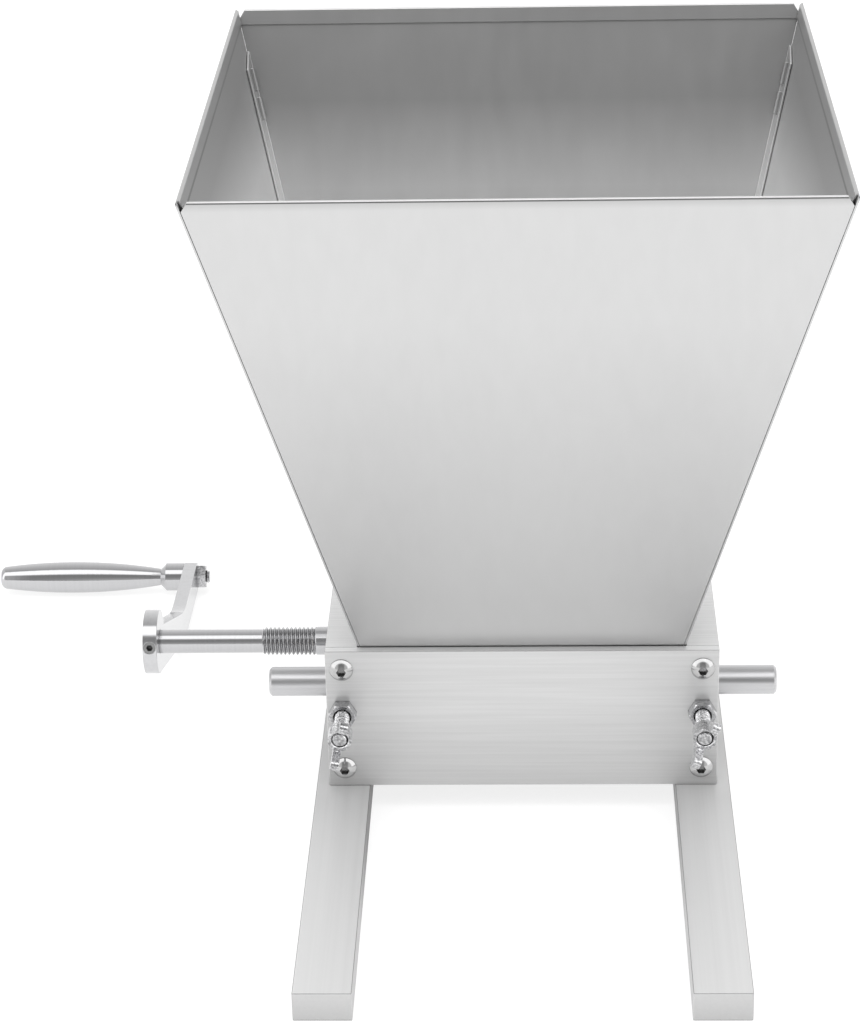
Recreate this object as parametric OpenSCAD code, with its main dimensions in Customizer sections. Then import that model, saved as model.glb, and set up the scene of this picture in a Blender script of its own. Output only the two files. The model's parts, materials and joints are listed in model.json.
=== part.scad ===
// Hand cranked two-roller grain mill with a sheet hopper, on two bar legs.
// X runs along the rollers, Y from front to back and Z up.
// The origin lies midway between the legs, on the surface that the mill stands on.

/* [Legs] */
// Width of each leg bar
leg_w = 22; // [16:0.5:30]
// Height of each leg bar
leg_h = 12; // [8:0.5:20]
// How far the legs stand out past the body's sides
leg_overhang = 5.3; // [3:0.1:8]
// How far the legs reach past the body, in front and behind
leg_reach = 148; // [60:1:220]

/* [Body] */
// Width over the two end plates
body_w = 158; // [140:1:200]
// Depth over the front and rear plates
body_d = 87; // [84:0.5:110]
// Height of the plates
body_h = 62; // [58:0.5:90]
// Thickness of the end plates
end_plate_t = 13; // [10:0.5:16]
// Thickness of the front and rear plates
cover_plate_t = 4; // [3:0.5:6]
// Drop of the roller axes below the plates' top edge
axis_drop = 27.5; // [26:0.5:34]

/* [Rollers] */
// Diameter of both rollers
roller_d = 34; // [28:0.5:36]
// Gap between the rollers at rest
roller_gap = 1.6; // [1.4:0.1:2.4]
// Travel of the idler roller to each side of its rest place
gap_travel = 1.2; // [0.6:0.1:1.3]
// Diameter of the roller journals
journal_d = 12; // [10:0.5:14]
// Length of the idler axle outside each end plate
idler_stub = 25; // [10:0.5:40]
// Chamfer on the axle and roller ends
axle_chamfer = 1; // [0.4:0.1:1.5]

/* [Bearings] */
// Wall of the bronze bushes
bush_wall = 2; // [1.5:0.1:3]
// Width of the bush flange beyond the bush
bush_flange_w = 2; // [1:0.1:3]
// Thickness of the bush flange
bush_flange_t = 1.2; // [0.8:0.1:2]
// Length of the sliding bearing blocks, front to back
block_l = 24; // [22:0.5:28]
// Height of the sliding bearing blocks
block_h = 24; // [22:0.5:28]
// Width of the tongue that guides a block
tongue_w = 4; // [3:0.1:6]
// Height of the tongue that guides a block
tongue_h = 1.8; // [1:0.1:2]

/* [Hopper] */
// Width of the hopper at its rim
rim_w = 237.5; // [190:0.5:280]
// Depth of the hopper at its rim
rim_d = 240.5; // [180:0.5:280]
// Height of the hopper above the plates
hopper_h = 218; // [150:1:260]
// Sheet thickness
sheet_t = 0.8; // [0.6:0.1:1.5]
// Depth of the hem folded in along the rim
hem_depth = 5; // [4:0.5:12]
// Width of the corner flanges
corner_flange_w = 14; // [10:0.5:20]
// Length of one corner tab
tab_l = 9.4; // [6:0.1:12]
// Distance from the rim to the first corner tab
tab_below_rim = 22; // [18:0.5:40]
// Distance from one corner tab to the next
tab_pitch = 11.6; // [11.6:0.1:20]
// Depth of the hopper foot inside the body
foot_drop = 3; // [2:0.5:5]

/* [Drive shaft] */
// Plain length of the journal outside the left end plate
shaft_collar_l = 7.5; // [2:0.5:15]
// Length of the threaded stretch
shaft_thread_l = 23.3; // [10:0.1:40]
// Diameter of the shaft end
shaft_end_d = 10; // [8:0.5:12]
// Length of the shaft end up to the crank
shaft_end_l = 43.6; // [20:0.1:70]

/* [Crank] */
// Diameter of the crank hub
hub_d = 27.2; // [22:0.1:32]
// Thickness of the crank
crank_t = 6; // [5:0.5:8]
// Width of the crank arm
arm_w = 13.3; // [11:0.1:16]
// Length of the arm from the hub to its knee
arm_inner_l = 88; // [60:1:110]
// Length of the arm from its knee to the grip
arm_outer_l = 57.4; // [40:0.1:80]
// Angle of the arm's knee
knee_angle = 20.5; // [5:0.5:30]
// Bend radius in the middle of the knee
knee_r = 60; // [40:1:90]
// Fillet where the arm leaves the hub
hub_fillet = 2; // [1:0.5:12]
// Diameter of the set screw
set_screw_d = 5; // [4:0.5:6]

/* [Grip] */
// Largest diameter of the grip
grip_d = 14.6; // [12:0.1:20]
// Length of the grip with its collar
grip_l = 86.5; // [70:0.5:110]
// Distance from the tip to the thickest place
grip_swell_from_tip = 34.5; // [25:0.5:45]
// Radius of the grip's long curve
grip_curve_r = 250; // [220:5:400]
// Rounding of the tip
grip_tip_r = 3; // [1:0.5:4]
// Diameter of the grip's collar
grip_collar_d = 13; // [11:0.1:16]
// Length of the grip's collar
grip_collar_l = 10.8; // [8:0.1:16]
// Chamfer on the collar
grip_collar_chamfer = 2.6; // [1:0.1:2.8]
// Diameter of the spindle that the grip turns on
spindle_d = 6; // [4:0.5:6]
// Length of the spindle inside the grip
spindle_l = 60; // [30:1:64]
// Height of the grip above the standing surface at rest
grip_rest_gap = 0.3; // [0.2:0.1:2]

/* [Gap adjusters] */
// Diameter of the adjuster screws
adjuster_d = 6; // [5:0.5:6]
// Length of the adjuster screws in front of the front plate
adjuster_out = 23.5; // [18:0.5:40]
// Seat of an adjuster screw in its bearing block
adjuster_seat = 2.5; // [1.5:0.1:2.8]
// Diameter of the wing collar
wing_collar_d = 9.6; // [8:0.1:12]
// Length of the wing collar
wing_collar_l = 7; // [5:0.5:9]
// Distance from the screw axis to the middle of a wing's tip
wing_reach = 8.5; // [7:0.1:12]
// Radius of a wing's tip
wing_tip_r = 2.3; // [1.5:0.1:3.5]
// How far the wing tips stand in front of the screw
wing_flare = 4.7; // [0:0.1:6]
// Thickness of the wings
wing_t = 3.2; // [2:0.1:4]
// Lean of the left wings from upright
left_wing_lean = 14; // [-80:1:80]
// Lean of the right wings from upright
right_wing_lean = 25; // [-80:1:80]

/* [Fasteners] */
// Diameter of the plate screws
screw_d = 5; // [4:0.5:6]
// Head diameter of the plate screws
screw_head_d = 9.5; // [8:0.1:11]
// Head height of the plate screws
screw_head_h = 2.75; // [2:0.05:3.3]
// Hex socket of the plate screws, across flats
screw_socket = 3.5; // [2:0.5:4]
// Length of the plate screws in the end plates
screw_grip_l = 14; // [8:1:16]
// Distance of the plate screws from the plates' top and bottom
screw_edge = 8.3; // [8:0.1:12]
// Distance of the leg screws from the middle of the body
leg_screw_y = 18; // [12:1:20]
// Width of the adjuster lock nuts across flats
nut_af = 10; // [8:0.5:10]
// Thickness of the adjuster lock nuts
nut_t = 5; // [3:0.1:6]
// Thickness of the nut on the grip's spindle
spindle_nut_t = 4.2; // [3:0.1:6]
// Length of the spindle past its nut
spindle_tail = 1.7; // [1:0.1:5]

/* [Clearances] */
// Radial running clearance of shafts in bushes
run_clear = 0.05; // [0.02:0.01:0.1]
// Radial clearance of pressed and screwed fits
seat_clear = 0.02; // [0.01:0.01:0.05]
// Clearance of flat sliding faces
slide_clear = 0.15; // [0.1:0.05:0.3]
// Radial clearance round an adjuster screw
thread_clear = 0.3; // [0.2:0.05:0.5]
// End float of rollers and of the grip
end_float = 0.3; // [0.2:0.05:0.5]
// Clearance between hopper sheets and the body
sheet_clear = 0.15; // [0.1:0.05:0.3]
// Clearance between a roller and the chute above it
chute_clear = 1.2; // [0.8:0.1:2]

/* [Hidden] */
$fn = 64;
hex_sides = 6;
overcut = 1;

body_top = leg_h + body_h;
inner_w = body_w - 2 * end_plate_t;
inner_d = body_d - 2 * cover_plate_t;
leg_l = body_d + 2 * leg_reach;
leg_x = body_w / 2 + leg_overhang - leg_w / 2;
plate_x = body_w / 2 - end_plate_t / 2;

axis_z = body_top - axis_drop;
axis_y = (roller_d + roller_gap) / 2;
roller_l = inner_w - 2 * (bush_flange_t + end_float);
bush_d = journal_d + 2 * (run_clear + bush_wall);
flange_d = bush_d + 2 * bush_flange_w;
slot_end_y = -axis_y + block_l / 2 + gap_travel + slide_clear;
block_front_y = -axis_y - block_l / 2;
front_y = -body_d / 2;

screw_z = [leg_h + screw_edge, body_top - screw_edge];
screw_head_flat = 0.4;
screw_socket_depth = 2;
leg_screw_head_h = 3;
leg_screw_head_d = 9.5;
leg_screw_l = 22;

// Hopper: outer faces of the foot, and the sheet's thickness measured level.
foot_half_w = inner_w / 2 - sheet_clear;
foot_half_d = inner_d / 2 - sheet_clear;
foot_z = body_top - foot_drop;
rim_z = body_top + hopper_h;
side_slope = atan((rim_w / 2 - foot_half_w) / hopper_h);
wall_slope = atan((rim_d / 2 - foot_half_d) / hopper_h);
side_level_t = sheet_t / cos(side_slope);
wall_level_t = sheet_t / cos(wall_slope);
hem_gap = 0.1;
hem_corner = 4;
side_corner = 1.2;
slant_l = hopper_h / cos(side_slope);
seam_angle = atan(cos(side_slope) * tan(wall_slope));
tab_t = sheet_t;
tab_fold = 3.4;
tab_count = 2;
mouth_depth = 0.8;
tab_margin = 5;
slot_play = 0.3;
// The chute's tip stands over the roller, a third of its radius out from the axis.
chute_tip_out = roller_d / 6;
chute_tip_y = axis_y + chute_tip_out;
chute_tip_z = axis_z + sqrt(pow(roller_d / 2, 2) - pow(chute_tip_out - gap_travel, 2)) + chute_clear;

// Drive shaft stations along X, from the body out to the crank's outer face.
collar_x = -body_w / 2 - shaft_collar_l;
thread_x = collar_x - shaft_thread_l;
crank_in_x = thread_x - shaft_end_l;
crank_out_x = crank_in_x - crank_t;
shaft_right_x = body_w / 2 - 1;

// Crank: its arm runs straight, bends at the knee and runs straight to the grip.
arm_end_u = arm_inner_l + arm_outer_l * cos(knee_angle);
arm_end_v = arm_outer_l * sin(knee_angle);
crank_r = norm([arm_end_u, arm_end_v]);
chord_angle = atan2(arm_end_v, arm_end_u);
// At rest the crank hangs back until its grip all but meets the standing surface.
rest_angle = asin((axis_z - grip_d / 2 - grip_rest_gap) / crank_r);
crank_turn = -rest_angle - chord_angle;
// The arm's edges run this far into the hub, so that the two fuse.
arm_root = 0.3;
arc_steps = 16;
grip_y = axis_y + crank_r * cos(rest_angle);
grip_z = axis_z - crank_r * sin(rest_angle);
grip_in_x = crank_out_x - end_float;
grip_tip_x = grip_in_x - grip_l;
spindle_nut_af = spindle_d + 4;
spindle_end_x = crank_in_x + spindle_nut_t + spindle_tail;

adjuster_tip_y = block_front_y + adjuster_seat;
adjuster_end_y = front_y - adjuster_out;

steel = "silver";
alloy = "gainsboro";
bronze = "darkgoldenrod";
dark_steel = "slategray";

// A round bar along X, between two places on it.
module rod_x(d, x0, x1) {
    translate([x0, 0, 0]) rotate([0, 90, 0]) cylinder(d = d, h = x1 - x0);
}

// A round bar along Y, between two places on it.
module rod_y(d, y0, y1) {
    translate([0, y0, 0]) rotate([-90, 0, 0]) cylinder(d = d, h = y1 - y0);
}

// A hexagonal bar along Y, with two corners level.
module hex_y(across_flats, y0, y1) {
    across_corners = across_flats / cos(180 / hex_sides);
    translate([0, y0, 0]) rotate([-90, 0, 0]) cylinder(d = across_corners, h = y1 - y0, $fn = hex_sides);
}

// Hexagon nut without its bore, along -Y, chamfered where its corners meet its outer face.
module nut_blank(across_flats, thick) {
    corner_r = across_flats / cos(180 / hex_sides) / 2;
    nut_chamfer = corner_r - across_flats / 2;
    intersection() {
        hex_y(across_flats, -thick, 0);
        rotate([90, 0, 0]) rotate_extrude() polygon([
            [0, 0], [corner_r, 0], [corner_r, thick - nut_chamfer], [across_flats / 2, thick], [0, thick]
        ]);
    }
}

// Turns an outline given as radius and place along X.
module turned_x() {
    rotate([0, 90, 0]) rotate_extrude() children();
}

// Extrudes an outline drawn in Y and Z evenly to both sides of X = 0.
module across_x(w) {
    rotate([90, 0, 90]) linear_extrude(w, center = true) children();
}

// Extrudes an outline drawn in X and Z evenly to both sides of Y = 0.
module across_y(d) {
    rotate([90, 0, 0]) linear_extrude(d, center = true) children();
}

// Legs

module leg(side) {
    difference() {
        translate([side * leg_x - leg_w / 2, -leg_l / 2, 0]) cube([leg_w, leg_l, leg_h]);
        for (y = [-leg_screw_y, leg_screw_y]) {
            translate([side * plate_x, y, -overcut]) {
                cylinder(d = screw_d + 2 * thread_clear, h = leg_h + 2 * overcut);
                cylinder(d = leg_screw_head_d + 2 * thread_clear,
                    h = leg_screw_head_h + thread_clear + overcut);
            }
        }
    }
}

module left_leg() {
    color(alloy) leg(-1);
}

module right_leg() {
    color(alloy) leg(1);
}

// Low cap screws sunk in the legs from below, which hold the end plates.
module leg_screws() {
    color(dark_steel)
        for (side = [-1, 1], y = [-leg_screw_y, leg_screw_y])
            translate([side * plate_x, y, thread_clear])
                difference() {
                    union() {
                        cylinder(d = leg_screw_head_d, h = leg_screw_head_h);
                        cylinder(d = screw_d, h = leg_screw_l);
                    }
                    translate([0, 0, -overcut])
                        cylinder(d = screw_socket / cos(180 / hex_sides), h = screw_socket_depth + overcut,
                            $fn = hex_sides);
                }
}

// Body plates

// The end plate carries the drive bush, and its slot guides the idler's bearing block.
module end_plate(side) {
    slot_h = block_h + 2 * slide_clear;
    difference() {
        translate([side * plate_x - end_plate_t / 2, -inner_d / 2, leg_h])
            cube([end_plate_t, inner_d, body_h]);
        translate([side * plate_x, 0, axis_z]) {
            translate([0, axis_y, 0]) rod_x(bush_d + 2 * seat_clear, -end_plate_t, end_plate_t);
            difference() {
                translate([-end_plate_t, -inner_d / 2 - overcut, -slot_h / 2])
                    cube([2 * end_plate_t, slot_end_y + inner_d / 2 + overcut, slot_h]);
                for (z = [-slot_h / 2, slot_h / 2])
                    translate([-tongue_w / 2, -inner_d, z - tongue_h])
                        cube([tongue_w, 2 * inner_d, 2 * tongue_h]);
            }
        }
        for (z = screw_z) {
            translate([side * plate_x, 0, z]) {
                rod_y(screw_d + 2 * seat_clear,
                    -inner_d / 2 - overcut, -inner_d / 2 + screw_grip_l + overcut);
                rod_y(screw_d + 2 * seat_clear,
                    inner_d / 2 - screw_grip_l - overcut, inner_d / 2 + overcut);
            }
        }
        for (y = [-leg_screw_y, leg_screw_y])
            translate([side * plate_x, y, leg_h - overcut])
                cylinder(d = screw_d + 2 * seat_clear, h = leg_screw_l - leg_h + 2 * overcut);
    }
}

module left_end_plate() {
    color(alloy) end_plate(-1);
}

module right_end_plate() {
    color(alloy) end_plate(1);
}

module cover_plate(facing) {
    plate_y = facing * (body_d - cover_plate_t) / 2;
    difference() {
        translate([-body_w / 2, plate_y - cover_plate_t / 2, leg_h]) cube([body_w, cover_plate_t, body_h]);
        for (side = [-1, 1], z = screw_z)
            translate([side * plate_x, plate_y, z])
                rod_y(screw_d + 2 * thread_clear, -cover_plate_t, cover_plate_t);
    }
}

module front_plate() {
    color(alloy)
        difference() {
            cover_plate(-1);
            for (side = [-1, 1])
                translate([side * plate_x, 0, axis_z])
                    rod_y(adjuster_d + 2 * thread_clear,
                        front_y - overcut, front_y + cover_plate_t + overcut);
        }
}

module rear_plate() {
    color(alloy) cover_plate(1);
}

// Button head screw along +Y, with the underside of its head at Y = 0.
module button_screw() {
    dome_r = (pow(screw_head_d / 2, 2) + pow(screw_head_h - screw_head_flat, 2))
        / (2 * (screw_head_h - screw_head_flat));
    difference() {
        union() {
            rod_y(screw_d, -screw_head_flat, cover_plate_t + screw_grip_l);
            intersection() {
                rod_y(screw_head_d, -screw_head_h, 0);
                translate([0, dome_r - screw_head_h, 0]) sphere(r = dome_r);
            }
        }
        hex_y(screw_socket, -screw_head_h - overcut, screw_socket_depth - screw_head_h);
    }
}

module front_plate_screws() {
    color(steel)
        for (side = [-1, 1], z = screw_z)
            translate([side * plate_x, front_y, z]) button_screw();
}

module rear_plate_screws() {
    color(steel)
        for (side = [-1, 1], z = screw_z)
            translate([side * plate_x, -front_y, z]) rotate([0, 0, 180]) button_screw();
}

// Hopper

// Section of a sloping sheet with a folded hem: half_foot and half_rim are its outer faces.
module hemmed_sheet(half_foot, half_rim, level_t, slope) {
    hem_low = hem_depth * tan(slope);
    round_r = level_t + hem_gap / 2;
    round_z = rim_z - round_r;
    round_q = half_rim - round_r * (1 + tan(slope));
    polygon([
        [half_foot, foot_z], [half_foot, body_top], [round_q + round_r, round_z],
        [round_q + hem_gap / 2, round_z], [half_foot - level_t, body_top], [half_foot - level_t, foot_z]
    ]);
    translate([round_q, round_z])
        polygon([
            [-round_r, 0], [-hem_gap / 2, 0],
            [-hem_gap / 2 - hem_low, -hem_depth], [-round_r - hem_low, -hem_depth]
        ]);
    intersection() {
        translate([round_q, round_z]) circle(r = round_r);
        translate([round_q - round_r, round_z]) square([2 * round_r, round_r]);
    }
}

// Outline that a wall and its foot fill between two others, with its rim corners cut.
module wall_outline(half_foot, half_rim, corner) {
    rise = (half_rim - half_foot) * corner / hopper_h;
    polygon([
        [-half_foot, foot_z - overcut], [half_foot, foot_z - overcut], [half_foot, body_top],
        [half_rim - rise, rim_z - corner], [half_rim - corner, rim_z + overcut],
        [-half_rim + corner, rim_z + overcut], [-half_rim + rise, rim_z - corner], [-half_foot, body_top]
    ]);
}

// The chute that leads from a wall's foot to just above a roller.
module chute_section() {
    drop_slope = atan((foot_z - chute_tip_z) / (foot_half_d - chute_tip_y));
    chute_rise = sheet_t / cos(drop_slope);
    polygon([
        [foot_half_d, foot_z], [foot_half_d, foot_z + chute_rise],
        [foot_half_d - wall_level_t, foot_z + chute_rise], [chute_tip_y, chute_tip_z + chute_rise],
        [chute_tip_y, chute_tip_z]
    ]);
}

// Inner face of the side sheet at a corner, in its own slope: z runs up it, y along it, x out of it.
module side_frame(side) {
    mirror([side < 0 ? 1 : 0, 0, 0])
        translate([foot_half_w, 0, body_top]) rotate([0, side_slope, 0]) children();
}

// Places its children at each corner tab, turned along the seam with the rear wall.
module each_tab() {
    for (i = [0 : tab_count - 1]) {
        tab_u = slant_l - tab_below_rim - tab_l / 2 - i * tab_pitch;
        tab_y = foot_half_d - wall_level_t + tab_u * tan(seam_angle) - corner_flange_w / 2;
        translate([0, tab_y, tab_u]) rotate([-seam_angle, 0, 0]) children();
    }
}

// Flange bent from the rear wall along one corner, against the side sheet's inner face.
module corner_flange(side) {
    flange_top = hopper_h - (tab_below_rim - tab_margin) * cos(side_slope);
    flange_low = corner_flange_w / 2;
    top_drop = corner_flange_w / 4;
    front_low = flange_low + corner_flange_w / 2;
    front_lean = tan(wall_slope);
    outer_foot = foot_half_w - side_level_t - sheet_clear;
    outer_low = outer_foot + flange_low * tan(side_slope);
    outer_top = outer_foot + flange_top * tan(side_slope);
    wall_low = foot_half_d - wall_level_t / 2 + flange_low * tan(wall_slope);
    wall_top = foot_half_d - wall_level_t / 2 + flange_top * tan(wall_slope);
    difference() {
        intersection() {
            mirror([side < 0 ? 1 : 0, 0, 0]) across_y(2 * rim_d)
                polygon([
                    [outer_low, body_top + flange_low], [outer_top, body_top + flange_top],
                    [outer_top - side_level_t, body_top + flange_top],
                    [outer_low - side_level_t, body_top + flange_low]
                ]);
            across_x(2 * rim_w)
                polygon([
                    [wall_low, body_top + flange_low], [wall_top, body_top + flange_top],
                    [wall_top - top_drop * front_lean - corner_flange_w, body_top + flange_top - top_drop],
                    [wall_low + corner_flange_w / 2 * front_lean - corner_flange_w, body_top + front_low]
                ]);
        }
        side_frame(side) each_tab()
            cube([8 * sheet_t, tab_t + 2 * slot_play, tab_l + 2 * slot_play], center = true);
    }
}

// Rear wall: hemmed sheet between the side sheets, its chute and its two corner flanges.
module hopper_wall() {
    half_foot = foot_half_w - side_level_t - sheet_clear;
    half_rim = rim_w / 2 - side_level_t - sheet_clear;
    intersection() {
        across_x(2 * rim_w) hemmed_sheet(foot_half_d, rim_d / 2, wall_level_t, wall_slope);
        across_y(2 * rim_d) wall_outline(half_foot, half_rim, hem_corner);
    }
    across_x(2 * half_foot) chute_section();
    for (side = [-1, 1]) corner_flange(side);
}

module hopper_rear_panel() {
    color(steel) hopper_wall();
}

module hopper_front_panel() {
    color(steel) mirror([0, 1, 0]) hopper_wall();
}

// Side wall: hemmed sheet over the full depth, with tabs folded through the corner flanges.
module hopper_side(side) {
    fold_x = -2 * sheet_t - sheet_clear - slot_play;
    intersection() {
        mirror([side < 0 ? 1 : 0, 0, 0]) across_y(2 * rim_d)
            hemmed_sheet(foot_half_w, rim_w / 2, side_level_t, side_slope);
        across_x(2 * rim_w) wall_outline(foot_half_d, rim_d / 2, side_corner);
        side_hem_clear();
    }
    for (facing = [0, 1])
        mirror([0, facing, 0])
            side_frame(side) each_tab() {
                translate([fold_x, -tab_t / 2, -tab_l / 2]) cube([-fold_x - sheet_t / 2, tab_t, tab_l]);
                translate([fold_x - tab_t, -tab_t / 2, -tab_l / 2]) cube([tab_t, tab_fold, tab_l]);
            }
}

// Distance of the side sheet's inner face from the middle of the hopper, at a height.
function side_inner(z) = rim_w / 2 - side_level_t - (rim_z - z) * tan(side_slope);

// Distance of the side hems' ends from the middle of the hopper, at a height.
function hem_end(z) = rim_d / 2 - 3 * wall_level_t - (rim_z - z) * tan(wall_slope);

// Keeps the side sheets whole, and stops their hems short of the wall sheets and hems.
module side_hem_clear() {
    hem_bottom = rim_z - hem_depth - 2 * hem_corner;
    low_z = hem_bottom - overcut;
    high_z = rim_z + overcut;
    across_x(2 * rim_w) polygon([
        [-rim_d, foot_z - overcut], [rim_d, foot_z - overcut], [rim_d, hem_bottom], [-rim_d, hem_bottom]
    ]);
    across_x(2 * rim_w) polygon([
        [-hem_end(low_z), low_z], [hem_end(low_z), low_z], [hem_end(high_z), high_z], [-hem_end(high_z), high_z]
    ]);
    for (side = [-1, 1])
        mirror([side < 0 ? 1 : 0, 0, 0]) across_y(2 * rim_d) polygon([
            [side_inner(low_z), low_z], [rim_w, low_z], [rim_w, high_z], [side_inner(high_z), high_z]
        ]);
}

module hopper_left_panel() {
    color(steel) hopper_side(-1);
}

module hopper_right_panel() {
    color(steel) hopper_side(1);
}

// Bushes and bearing blocks

// Flanged bush along X with its flange at X = 0, reaching along +X through the plate.
module flanged_bush() {
    difference() {
        union() {
            rod_x(flange_d, -bush_flange_t, 0);
            rod_x(bush_d, -bush_flange_t, end_plate_t);
        }
        rod_x(journal_d + 2 * run_clear, -bush_flange_t - overcut, end_plate_t + overcut);
    }
}

module bush_at(side, y) {
    translate([0, y, axis_z]) mirror([side < 0 ? 1 : 0, 0, 0]) translate([inner_w / 2, 0, 0]) flanged_bush();
}

module left_drive_bush() {
    color(bronze) bush_at(-1, axis_y);
}

module right_drive_bush() {
    color(bronze) bush_at(1, axis_y);
}

module left_block_bush() {
    color(bronze) bush_at(-1, -axis_y);
}

module right_block_bush() {
    color(bronze) bush_at(1, -axis_y);
}

// Bearing block of the idler, grooved over the tongues of its slot.
module bearing_block(side) {
    groove_w = tongue_w + 2 * slide_clear;
    groove_h = tongue_h + slide_clear;
    translate([side * plate_x, -axis_y, axis_z])
        difference() {
            cube([end_plate_t, block_l, block_h], center = true);
            rod_x(bush_d + 2 * seat_clear, -end_plate_t, end_plate_t);
            for (z = [-block_h / 2, block_h / 2])
                translate([-groove_w / 2, -block_l, z - groove_h])
                    cube([groove_w, 2 * block_l, 2 * groove_h]);
            rod_y(adjuster_d + 2 * thread_clear, -block_l / 2 - overcut, -block_l / 2 + adjuster_seat);
        }
}

module left_bearing_block() {
    color(alloy) bearing_block(-1);
}

module right_bearing_block() {
    color(alloy) bearing_block(1);
}

// Rollers and shafts

module roller(y) {
    half_l = roller_l / 2;
    translate([0, y, axis_z])
        turned_x() polygon([
            [journal_d / 2 + seat_clear, -half_l], [roller_d / 2 - axle_chamfer, -half_l],
            [roller_d / 2, -half_l + axle_chamfer], [roller_d / 2, half_l - axle_chamfer],
            [roller_d / 2 - axle_chamfer, half_l], [journal_d / 2 + seat_clear, half_l]
        ]);
}

module drive_roller() {
    color(dark_steel) roller(axis_y);
}

module idler_roller() {
    color(dark_steel) roller(-axis_y);
}

module idler_axle() {
    end_x = body_w / 2 + idler_stub;
    color(steel)
        translate([0, -axis_y, axis_z])
            turned_x() polygon([
                [0, -end_x], [journal_d / 2 - axle_chamfer, -end_x], [journal_d / 2, -end_x + axle_chamfer],
                [journal_d / 2, end_x - axle_chamfer], [journal_d / 2 - axle_chamfer, end_x], [0, end_x]
            ]);
}

module drive_shaft() {
    color(steel)
        translate([0, axis_y, axis_z])
            turned_x() polygon([
                [0, crank_out_x], [shaft_end_d / 2, crank_out_x],
                [shaft_end_d / 2, thread_x], [journal_d / 2 - axle_chamfer, thread_x],
                [journal_d / 2, thread_x + axle_chamfer], [journal_d / 2, shaft_right_x - axle_chamfer],
                [journal_d / 2 - axle_chamfer, shaft_right_x], [0, shaft_right_x]
            ]);
}

// Crank and grip

// Sets its children on the shaft's axis, turned with the crank: X across it, Y along its arm.
module crank_frame() {
    translate([0, axis_y, axis_z]) rotate([crank_turn, 0, 0]) children();
}

// Points along an arc, from one angle to another.
function arc(centre, r, from, to) = [
    for (i = [0 : arc_steps])
        let (angle = from + (to - from) * i / arc_steps) centre + r * [cos(angle), sin(angle)]
];

// The arm tapers from the hub to its knee, and a fillet leads from its upper edge into the hub.
module crank_outline() {
    setback = knee_r * tan(knee_angle / 2);
    knee_centre = [arm_inner_l - setback, knee_r];
    arm_end = [arm_end_u, arm_end_v];
    across = arm_w / 2 * [-sin(knee_angle), cos(knee_angle)];
    root_r = hub_d / 2 - arm_root;
    fillet_v = arm_w / 2 + hub_fillet;
    fillet_u = sqrt(pow(root_r + hub_fillet, 2) - pow(fillet_v, 2));
    circle(d = hub_d);
    translate(arm_end) circle(d = arm_w);
    polygon(concat(
        [[0, 0], [0, -root_r]],
        arc(knee_centre, knee_r + arm_w / 2, -90, knee_angle - 90),
        [arm_end - across, arm_end + across],
        arc(knee_centre, knee_r - arm_w / 2, knee_angle - 90, -90),
        arc([fillet_u, fillet_v], hub_fillet, -90, atan2(fillet_v, fillet_u) - 180)
    ));
}

module crank() {
    color(steel)
        crank_frame()
            difference() {
                translate([crank_in_x - crank_t / 2, 0, 0]) across_x(crank_t) crank_outline();
                rod_x(shaft_end_d + 2 * seat_clear, crank_out_x - overcut, crank_in_x + overcut);
                translate([0, arm_end_u, arm_end_v])
                    rod_x(spindle_d + 2 * seat_clear, crank_out_x - overcut, crank_in_x + overcut);
                translate([crank_in_x - crank_t / 2, 0, 0]) rotate([chord_angle, 0, 0])
                    rod_y(set_screw_d + 2 * seat_clear, -hub_d, 0);
            }
}

// Socket set screw in the hub's rim, opposite the arm.
module crank_set_screw() {
    outer_y = -hub_d / 2 + end_float;
    color(steel)
        crank_frame()
            translate([crank_in_x - crank_t / 2, 0, 0]) rotate([chord_angle, 0, 0])
                difference() {
                    rod_y(set_screw_d, outer_y, -shaft_end_d / 2 - seat_clear);
                    hex_y(set_screw_d / 2, outer_y - overcut, outer_y + set_screw_d / 2);
                }
}

module at_grip() {
    translate([0, grip_y, grip_z]) children();
}

module grip_spindle() {
    spindle_chamfer = axle_chamfer / 2;
    spindle_out_x = grip_in_x - spindle_l;
    color(steel)
        at_grip() turned_x() polygon([
            [0, spindle_out_x], [spindle_d / 2, spindle_out_x],
            [spindle_d / 2, spindle_end_x - spindle_chamfer],
            [spindle_d / 2 - spindle_chamfer, spindle_end_x], [0, spindle_end_x]
        ]);
}

module grip_spindle_nut() {
    color(steel)
        at_grip()
            difference() {
                translate([crank_in_x, 0, 0]) rotate([0, 0, 90]) rotate([0, 180 / hex_sides, 0])
                    nut_blank(spindle_nut_af, spindle_nut_t);
                rod_x(spindle_d + 2 * seat_clear,
                    crank_in_x - overcut, crank_in_x + spindle_nut_t + overcut);
            }
}

// Half section of the grip, as radius and distance from its tip.
module grip_section() {
    body_l = grip_l - grip_collar_l;
    collar_r = grip_collar_d / 2;
    intersection() {
        translate([grip_d / 2 - grip_curve_r, grip_swell_from_tip]) circle(r = grip_curve_r, $fn = 256);
        translate([0, grip_tip_r]) square([grip_d, body_l - grip_tip_r]);
    }
    tip_drop = grip_curve_r - sqrt(pow(grip_curve_r, 2) - pow(grip_swell_from_tip - grip_tip_r, 2));
    tip_half = grip_d / 2 - tip_drop;
    square([tip_half - grip_tip_r, 2 * grip_tip_r]);
    intersection() {
        translate([tip_half - grip_tip_r, grip_tip_r]) circle(r = grip_tip_r);
        square([tip_half, grip_tip_r]);
    }
    polygon([
        [0, body_l - overcut], [collar_r - grip_collar_chamfer, body_l - overcut],
        [collar_r - grip_collar_chamfer, body_l], [collar_r, body_l + grip_collar_chamfer],
        [collar_r, grip_l], [0, grip_l]
    ]);
}

module grip() {
    color(steel)
        at_grip()
            difference() {
                translate([grip_tip_x, 0, 0]) turned_x() grip_section();
                rod_x(spindle_d + 2 * run_clear, grip_in_x - spindle_l - end_float, grip_in_x + overcut);
            }
}

// Gap adjusters

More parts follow.
